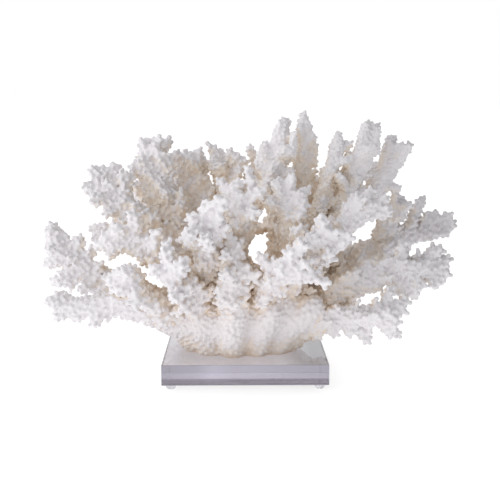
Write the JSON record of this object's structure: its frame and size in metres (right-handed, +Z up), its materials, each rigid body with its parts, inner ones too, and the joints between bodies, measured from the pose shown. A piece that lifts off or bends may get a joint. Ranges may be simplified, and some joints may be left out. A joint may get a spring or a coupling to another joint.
{
  "type": "branching coral on a clear stand",
  "caption": "Bleached branching coral colony with a wide fan of knobbly fingers, sawn flat at the stump and standing on a thick clear acrylic block with small clear bumper feet",
  "frame": {"origin": "On the surface that the feet stand on, under the middle of the overall width and depth", "axes": "+Z up, +X to the right as seen from the front along the widest spread of the limbs, +Y to the back"},
  "size_m": [0.404, 0.2426, 0.252],
  "materials": {
    "coral": "matt chalky bleached coral, cream in the hollows and tan in the deepest ones",
    "acrylic": "polished clear",
    "foot_plastic": "clear satin"
  },
  "bodies": {
    "root": {"acrylic_block": "acrylic", "foot_front_left": "foot_plastic", "foot_front_right": "foot_plastic", "foot_back_left": "foot_plastic", "foot_back_right": "foot_plastic", "stump": "coral", "left_low": "coral", "left_mid": "coral", "left_bridge": "coral", "left_fan": "coral", "left_high": "coral", "left_shoulder": "coral", "high_left": "coral", "high_left_back": "coral", "high_mid_back": "coral", "front_left": "coral", "front_column": "coral", "centre_left": "coral", "centre_rise": "coral", "centre_front": "coral", "centre_right": "coral", "high_centre": "coral", "high_centre_right": "coral", "centre_high_front": "coral", "high_inner": "coral", "high_right": "coral", "high_right_outer": "coral", "right_front_high": "coral", "right_far": "coral", "right_rise": "coral", "right_mid": "coral", "right_low": "coral", "back_low_left": "coral", "back_left": "coral", "back_high_left": "coral", "back_low_mid": "coral", "back_mid": "coral", "back_high_mid": "coral", "back_low_near": "coral", "back_right": "coral", "back_high_right": "coral", "back_low_right": "coral"}
  },
  "joints": []
}
